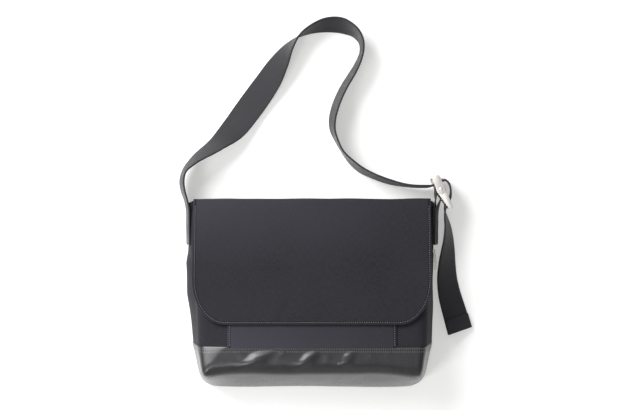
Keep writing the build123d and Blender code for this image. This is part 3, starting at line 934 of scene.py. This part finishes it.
class BAG_OT_stage(bpy.types.Operator):
    """Makes the floor, the soft lights, the pale surroundings and the camera overhead"""

    bl_idname = "bag.stage"
    bl_label = "Stage"

    def execute(self, context):
        sizes = context.scene.bag_sizes
        context.scene.view_settings.view_transform = "Standard"
        self.add_floor()
        self.add_light("key_light", (-0.78, 0.86, 1.05), 31.0, 0.8)
        self.add_light("fill_light", (0.5, -1.5, 1.0), 3.0, 1.2)
        self.add_light("side_light", (-0.58, -0.52, 0.85), 5.0, 0.3)
        self.add_light("top_light", (0.0, 0.1, 3.4), 11.0, 2.4)
        world = bpy.data.worlds.new("studio")
        world.use_nodes = True
        background = world.node_tree.nodes["Background"]
        background.inputs["Color"].default_value = (0.97, 0.985, 1.0, 1)
        background.inputs["Strength"].default_value = 0.30
        context.scene.world = world
        camera = bpy.data.objects.new("camera", bpy.data.cameras.new("camera"))
        context.scene.collection.objects.link(camera)
        camera.location = (0.0111, 0.1267, sizes.camera_height)
        camera.data.lens = camera.data.sensor_width * sizes.camera_height / sizes.view_width
        camera.data.clip_end = 50.0
        context.scene.camera = camera
        return {"FINISHED"}

    def add_floor(self):
        bm = bmesh.new()
        bmesh.ops.create_grid(bm, x_segments=2, y_segments=2, size=6.0)
        bmesh.ops.translate(bm, vec=(0, 0, -0.0013), verts=bm.verts[:])
        mesh = bpy.data.meshes.new("floor")
        bm.to_mesh(mesh)
        bm.free()
        mesh.materials.append(surface("floor"))
        floor = bpy.data.objects.new("floor", mesh)
        bpy.context.scene.collection.objects.link(floor)

    def add_light(self, name, place, power, size):
        data = bpy.data.lights.new(name, "AREA")
        data.energy, data.size = power, size
        light = bpy.data.objects.new(name, data)
        light.location = place
        light.rotation_euler = (Vector((0, 0.1, 0)) - Vector(place)).to_track_quat("-Z", "Y").to_euler()
        bpy.context.scene.collection.objects.link(light)


class BAG_OT_canvas_body(bpy.types.Operator):
    """Makes the canvas body: front, back and both gussets, sewn into one sleeve"""

    bl_idname = "bag.canvas_body"
    bl_label = "Canvas body"

    def execute(self, context):
        bm = body_sleeve(0.0, 1.0, columns=110, rows=72, levels=26, closed=False)
        points = onto_body(points_of(bm), 0.0)
        normals = body_normals(points)
        sides = np.abs(normals[:, 0])
        soft = ripple(points, 16.0) * 0.0005 + ripple(points, 40.0, seed=5.0) * 0.0002 - 0.0005
        middle = np.clip(points[:, 2] / 0.06, 0, 1) * np.clip(1.6 - points[:, 2] / 0.05, 0, 1)
        folds = ripple(points, 26.0, stretch=(0.4, 1.0, 0.35), seed=2.0) * 0.0016 + 0.0010 * middle
        flat_back = np.clip(points[:, 2] / 0.004, 0, 1)
        points = points + normals * (((1 - sides) * soft + sides * folds) * flat_back)[:, None]
        points[:, 0] -= left_bulge(points) * np.clip((sides - 0.5) / 0.3, 0, 1)
        points[:, 2] -= corner_sag(points)
        put_points(bm, points)
        flat_uvs(bm)
        body = new_piece(
            "canvas_body", bm, "canvas", "bag",
            ("back_panel", "front_panel", "left_gusset", "right_gusset"),
        )
        thicken(body, 0.0016, edge=0.0004)
        return {"FINISHED"}


class BAG_OT_base(bpy.types.Operator):
    """Makes the glossy base: one coated piece round the bottom, with folds pressed into its front"""

    bl_idname = "bag.base"
    bl_label = "Coated base"

    def execute(self, context):
        bm = body_sleeve(1.0, 2.0, columns=130, rows=26, levels=38, closed=True)
        points = onto_body(points_of(bm), -0.0006)
        normals = body_normals(points)
        height = np.clip(points[:, 2] / CREASE_Z, 0, 1)
        underneath = np.clip((-normals[:, 1] - 0.45) / 0.35, 0, 1)
        bulge = 0.0040 * 4 * height * (1 - height) * underneath
        soft = ripple(points, 13.0, seed=7.0) * 0.0012 + ripple(points, 34.0, seed=3.0) * 0.0004
        off_seam = np.clip((SEAM_Y - points[:, 1]) / 0.012, 0, 1)
        off_floor = np.clip(points[:, 2] / 0.01, 0, 1)
        corner = np.clip((np.abs(points[:, 0]) - 0.105) / 0.05, 0, 1)
        pinch = -0.003 * corner**2 * np.clip(1 - height, 0, 1) * underneath
        lift = (soft * off_seam + base_creases(points, normals) + bulge + pinch) * off_floor
        points = points + normals * lift[:, None]
        points[:, 2] -= corner_sag(points)
        points[:, 1] -= crease_ends(points)
        put_points(bm, points)
        flat_uvs(bm)
        base = new_piece("coated_base", bm, "coated_cloth", "bag", ("base_cover",))
        thicken(base, 0.0016, edge=0.0004)
        return {"FINISHED"}


class BAG_OT_lining(bpy.types.Operator):
    """Makes the lining inside the body, and finishes the board under it"""

    bl_idname = "bag.lining"
    bl_label = "Lining and board"

    def execute(self, context):
        bm = body_sleeve(0.02, 2.0, columns=70, rows=70, levels=22, closed=True)
        points = onto_body(points_of(bm), 0.0040)
        normals = body_normals(points)
        points = points + normals * (ripple(points, 20.0, seed=11.0) * 0.0009 - 0.0006)[:, None]
        points[:, 2] -= corner_sag(points) * 1.15
        put_points(bm, points)
        flat_uvs(bm)
        lining = new_piece("lining_cloth", bm, "lining_cloth", "bag", ("lining",))
        thicken(lining, 0.0006, edge=0.0002)
        frame["nodes"]["base_board"].data.materials[0] = surface("stiffener")
        return {"FINISHED"}


class BAG_OT_binding(bpy.types.Operator):
    """Makes the tape folded over the raw edges round the mouth"""

    bl_idname = "bag.binding"
    bl_label = "Mouth binding"

    half_thick, leg, sunk = 0.0026, 0.008, 0.0014

    def execute(self, context):
        ups = [i / 12 for i in range(13)]
        acrosses = [-1 + 2 * i / 60 for i in range(61)]
        edge = [body_point(-1, 0, u) for u in ups] + [body_point(a, 0, 1) for a in acrosses[1:-1]]
        edge += [body_point(1, 0, u) for u in reversed(ups)]
        path = onto_body(np.array(edge, float), 0.0022)
        normals = body_normals(path)
        normals /= np.linalg.norm(normals, axis=1)[:, None]
        outward = np.array(slope((FRONT_TOP_Y, FRONT_TOP_Z), (MOUTH_Y, 0)), float)
        rows = len(path) - 1

        def place(x, y):
            i = round(y * rows)
            turn = (2 * x - 1) / 0.4
            if abs(turn) <= 1:
                across, down = math.sin(turn * math.pi / 2), -math.cos(turn * math.pi / 2) * self.half_thick
            else:
                across, down = math.copysign(1, turn), (abs(turn) - 1) / 1.5 * self.leg
            return Vector(path[i] + normals[i] * across * self.half_thick - outward * (down + self.sunk))

        bm = bmesh.new()
        add_patch(bm, 20, rows, place)
        bmesh.ops.recalc_face_normals(bm, faces=bm.faces[:])
        flat_uvs(bm)
        binding = new_piece("mouth_tape", bm, "webbing", "bag", ("mouth_binding",))
        thicken(binding, 0.0006, edge=0.0002)
        return {"FINISHED"}


class BAG_OT_pocket(bpy.types.Operator):
    """Makes the patch pocket on the front, open under the flap, and its two stitch rows"""

    bl_idname = "bag.pocket"
    bl_label = "Front pocket"

    def execute(self, context):
        sizes = context.scene.bag_sizes
        half = POCKET_HIGH.x
        foot = SEAM_POINT + FRONT_UP * -0.002
        tall = (POCKET_HIGH.y - SEAM_Y) / FRONT_UP.y + 0.002

        def on_front(x, up, lift):
            middle = max(1 - (x / half) ** 2, 0)
            soft = noise.noise(Vector((x * 14, up * 16, 1.3))) * 0.0004 + 0.0003 * middle
            return Vector((x, 0, 0)) + foot + FRONT_UP * up + FRONT_NORMAL * (lift + soft)

        bm = bmesh.new()
        rim = bm.verts.layers.float.new("rim")
        add_patch(bm, 90, 50, lambda x, y: Vector(((2 * x - 1) * half, y * tall, 0)))
        layer = bm.loops.layers.uv.new("cloth")
        for face in bm.faces:
            for loop in face.loops:
                loop[layer].uv = loop.vert.co.xy
        for vertex in bm.verts:
            vertex[rim] = half - abs(vertex.co.x)
            vertex.co = on_front(vertex.co.x, vertex.co.y, 0.0014)
        pocket = new_piece("pocket_canvas", bm, "flap_canvas", "bag", ("front_pocket",))
        thicken(pocket, 0.0012, edge=0.0004)
        bm = bmesh.new()
        for side in (-1, 1):
            heights = np.linspace(0.003, tall - 0.002, 40)
            path = [on_front(side * (half - 0.0029), up, 0.0014) for up in heights]
            add_stitches(bm, path, [FRONT_NORMAL] * len(path), sizes)
        new_piece("pocket_stitches", bm, "thread", "bag", ("pocket_thread",))
        return {"FINISHED"}


class BAG_OT_flap(bpy.types.Operator):
    """Makes the flap: the spine over the mouth, the leaf down the front, its lining and topstitching"""

    bl_idname = "bag.flap"
    bl_label = "Flap"

    inset = 0.0029

    def execute(self, context):
        half_spine = SPINE_LENGTH * 0.5
        spine = new_piece(
            "flap_spine_canvas", flap_sheet(0, half_spine, 0, 0, 100, 10), "flap_canvas", None,
            ("flap_spine",),
        )
        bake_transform(settle(thicken(spine, 0.0023)))
        leaf = new_piece(
            "flap_leaf_canvas", flap_sheet(half_spine, FLAP_END, 0, 0, 120, 96),
            "flap_canvas", None, ("flap_outer",),
        )
        settle(thicken(leaf, 0.0022, edge=0.0009, segments=3))
        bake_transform(leaf)
        FLAP_END - half_spine
        lining = new_piece(
            "flap_leaf_lining", flap_sheet(half_spine, FLAP_END, 0.006, -0.0023, 80, 70),
            "lining_cloth", None, ("flap_lining",),
        )
        settle(thicken(lining, 0.0005, edge=0.0001))
        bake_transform(lining)
        bm = bmesh.new()
        path = [flap_point(*spot)[0] for spot in self.stitch_line()]
        add_stitches(bm, path, [FRONT_NORMAL] * len(path), context.scene.bag_sizes)
        new_piece("flap_stitches", bm, "thread", "flap_leaf", ("flap_thread",))
        return {"FINISHED"}

    def stitch_line(self):
        """Flat points of the topstitching, down one side, along the foot and up the other side."""
        top = SPINE_LENGTH + FOLD_LENGTH + 0.004
        side = [(FLAP_HALF - self.inset, at) for at in np.linspace(top, CORNER_START, 40)]
        corner = [
            (FLAP_HALF - CORNER_ACROSS + (CORNER_ACROSS - self.inset) * math.cos(a),
             CORNER_START + (CORNER_ALONG - self.inset) * math.sin(a))
            for a in np.linspace(0.05, math.pi / 2, 24)
        ]
        half = side + corner
        foot = [(x, FLAP_END - self.inset) for x in np.linspace(-half[-1][0], half[-1][0], 60)[1:-1]]
        return [(-x, at) for x, at in half] + foot + list(reversed(half))


class BAG_OT_base_stitches(bpy.types.Operator):
    """Makes the double row of stitches along the base's top edge, over the front and down both sides"""

    bl_idname = "bag.base_stitches"
    bl_label = "Base stitches"

    rows = (0.0026, 0.0068)

    def execute(self, context):
        bm = bmesh.new()
        base = bpy.data.objects["coated_base"]
        for down in self.rows:
            y = SEAM_Y - down
            top = SEAM_Z + (CREASE_Z - SEAM_Z) * down / (SEAM_Y - CREASE_Y)
            half = SEAM_HALF - BASE_TAPER * down
            side = [Vector((half - SIDE_LEAN * z, y, z)) for z in np.linspace(0.006, top, 30)]
            over = straight((side[-1].x, y, top), (-side[-1].x, y, top), 120)
            outline = side + over[1:-1] + [Vector((-p.x, p.y, p.z)) for p in reversed(side)]
            path, normals = snapped(onto_body(np.array(outline, float), -0.0006), base)
            add_stitches(bm, path, normals, context.scene.bag_sizes)
        new_piece("base_stitches", bm, "thread", "bag", ("base_thread",))
        return {"FINISHED"}


class BAG_OT_strap(bpy.types.Operator):
    """Makes the shoulder strap, its folded end, and the buckle's loop, with the stitches that hold them"""

    bl_idname = "bag.strap"
    bl_label = "Strap and loop"

    hem = 0.021

    def execute(self, context):
        sizes = context.scene.bag_sizes
        band = Band(STRAP_ROUTE, sizes.strap_width, 0.003)
        strap = new_piece(
            "strap_webbing", band.sheet(10, cup=-0.0004), "webbing", "bag", ("shoulder_strap",)
        )
        thicken(strap, sizes.strap_thick, offset=0.0, edge=0.0007)
        hem = new_piece(
            "strap_hem",
            band.sheet(8, start=1 - self.hem / band.length, lift=-sizes.strap_thick * 0.96, trim=0.01),
            "webbing", "bag",
        )
        thicken(hem, sizes.strap_thick * 0.9, offset=0.0, edge=0.0007)
        loop_band = Band(LOOP_ROUTE, sizes.strap_width, 0.0016)
        loop = new_piece("loop_webbing", loop_band.sheet(10), "webbing", "bag", ("anchor_loop",))
        thicken(loop, sizes.loop_thick, offset=0.0, edge=0.0006)
        bm = bmesh.new()
        self.box_stitches(bm, band, 0.004, 0.034, sizes.strap_thick, sizes)
        end = loop_band.length
        self.box_stitches(bm, loop_band, end - 0.034, end - 0.004, sizes.loop_thick, sizes)
        hem_row = band.length - self.hem + 0.003
        self.line_stitches(bm, band, [(0.08, hem_row), (0.92, hem_row)], sizes.strap_thick, sizes, side=1)
        new_piece("strap_stitches", bm, "thread", "bag")
        return {"FINISHED"}

    def line_stitches(self, bm, band, corners, thick, sizes, side=-1):
        """Stitches along straight lines between corners (share across, length along) of a band."""
        path, normals = [], []
        for (a, s), (b, t) in zip(corners, corners[1:]):
            for share in np.linspace(0, 1, 14):
                across, along = a + (b - a) * share, (s + (t - s) * share) / band.length
                path.append(band.at(across, along, lift=side * thick / 2))
                normals.append(band.normal(along) * side)
        add_stitches(bm, path, normals, sizes)

    def box_stitches(self, bm, band, start, end, thick, sizes):
        """A sewn square with a cross in it."""
        low, high = 0.10, 0.90
        box = [(low, start), (high, start), (high, end), (low, end), (low, start)]
        self.line_stitches(bm, band, box, thick, sizes)
        self.line_stitches(bm, band, [(low, start), (high, end)], thick, sizes)
        self.line_stitches(bm, band, [(high, start), (low, end)], thick, sizes)


class BAG_OT_buckle(bpy.types.Operator):
    """Makes the metal pieces with softened edges, and the pivot pin's domed heads"""

    bl_idname = "bag.buckle"
    bl_label = "Buckle"

    def execute(self, context):
        self.softened("buckle_frame", "bag", 0.0004)
        self.softened("buckle_lever", "lever", 0.0005)
        self.softened("anchor_sleeve", "bag", 0.0003)
        self.add_pin()
        return {"FINISHED"}

    def softened(self, node, body, edge):
        """A copy of a CAD node with rounded edges."""
        bm = bmesh.new()
        bm.from_mesh(frame["nodes"][node].data)
        bmesh.ops.remove_doubles(bm, verts=bm.verts[:], dist=1e-6)
        bmesh.ops.dissolve_limit(bm, angle_limit=math.radians(2), verts=bm.verts[:], edges=bm.edges[:])
        sharp = [e for e in bm.edges if e.is_manifold and e.calc_face_angle(0) > math.radians(40)]
        bmesh.ops.bevel(
            bm, geom=sharp, offset=edge, segments=2, profile=0.5, affect="EDGES", material=-1,
            clamp_overlap=True,
        )
        bmesh.ops.triangulate(bm, faces=[f for f in bm.faces if len(f.verts) > 4])
        piece = new_piece(f"{node}_metal", bm, "nickel", body, (node,))
        for polygon in piece.data.polygons:
            polygon.use_smooth = True
        piece.data.set_sharp_from_angle(angle=math.radians(25))

    def add_pin(self):
        """The pin and its two heads, turned from one profile."""
        shank, head = 0.0016, (PIN_HIGH.x - PIN_LOW.x) / 2
        bm = bmesh.new()
        low, high = PIN_LOW.z, PIN_HIGH.z
        profile = [(0, low + 0.0001), (head, low + 0.0001), (head, low + 0.0005), (shank, low + 0.0005)]
        profile += [(shank, high - 0.0011), (head, high - 0.0011), (head, high - 0.0007)]
        dome = 0.0007
        for angle in np.linspace(0.3, math.pi / 2, 6):
            profile.append((head * math.cos(angle), high - dome + dome * math.sin(angle)))
        verts = [bm.verts.new((PIVOT.x + r, PIVOT.y, z)) for r, z in profile]
        edges = [bm.edges.new(pair) for pair in zip(verts, verts[1:])]
        bmesh.ops.spin(
            bm, geom=verts + edges, cent=(PIVOT.x, PIVOT.y, 0), axis=(0, 0, 1), angle=math.tau, steps=32,
            use_merge=True,
        )
        bmesh.ops.remove_doubles(bm, verts=bm.verts[:], dist=1e-6)
        bmesh.ops.recalc_face_normals(bm, faces=bm.faces[:])
        pin = new_piece("pivot_pin_metal", bm, "nickel", "bag", ("buckle_pivot_pin",))
        pin.data.set_sharp_from_angle(angle=math.radians(35))


class BAG_OT_label(bpy.types.Operator):
    """Makes the blank tape label on the right gusset"""

    bl_idname = "bag.label"
    bl_label = "Side label"

    def execute(self, context):
        size = LABEL_HIGH - LABEL_LOW

        def place(x, y):
            curl = 0.0006 * math.sin(math.pi * x) + 0.0004 * math.sin(2.3 * math.pi * y)
            across = LABEL_LOW.x + 0.0024 + 0.0028 * x + (size.x - 0.0040) * y
            along = LABEL_HIGH.y - 0.0004 - (size.y - 0.001) * x
            return Vector((across + curl, along, LABEL_HIGH.z - (size.z - 0.0004) * y))

        bm = bmesh.new()
        add_patch(bm, 24, 16, place)
        layer = bm.loops.layers.uv.new("cloth")
        for face in bm.faces:
            for loop in face.loops:
                loop[layer].uv = (loop.vert.co.y, loop.vert.co.z)
        label = new_piece("blank_label", bm, "label_cloth", "bag", ("side_label",))
        thicken(label, 0.0008, offset=0.0, edge=0.0003)
        return {"FINISHED"}


class BAG_PT_panel(bpy.types.Panel):
    """Lists the bag's settings and pieces"""

    bl_label = "Messenger bag"
    bl_space_type = "VIEW_3D"
    bl_region_type = "UI"
    bl_category = "Bag"

    def draw(self, context):
        for group in (context.scene.bag_sizes, context.scene.bag_colours):
            for name in group.__annotations__:
                self.layout.prop(group, name)
        for operator in OPERATORS:
            self.layout.operator(operator.bl_idname)


OPERATORS = (
    BAG_OT_stage,
    BAG_OT_canvas_body,
    BAG_OT_base,
    BAG_OT_lining,
    BAG_OT_binding,
    BAG_OT_pocket,
    BAG_OT_flap,
    BAG_OT_base_stitches,
    BAG_OT_strap,
    BAG_OT_buckle,
    BAG_OT_label,
)
CLASSES = (BagSizes, BagColours, *OPERATORS, BAG_PT_panel)


def register():
    for cls in CLASSES:
        bpy.utils.register_class(cls)
    bpy.types.Scene.bag_sizes = PointerProperty(type=BagSizes)
    bpy.types.Scene.bag_colours = PointerProperty(type=BagColours)


def unregister():
    del bpy.types.Scene.bag_colours
    del bpy.types.Scene.bag_sizes
    for cls in reversed(CLASSES):
        bpy.utils.unregister_class(cls)


def main():
    register()
    for operator in OPERATORS:
        group, name = operator.bl_idname.split(".")
        getattr(getattr(bpy.ops, group), name)()


if __name__ == "__main__":
    main()
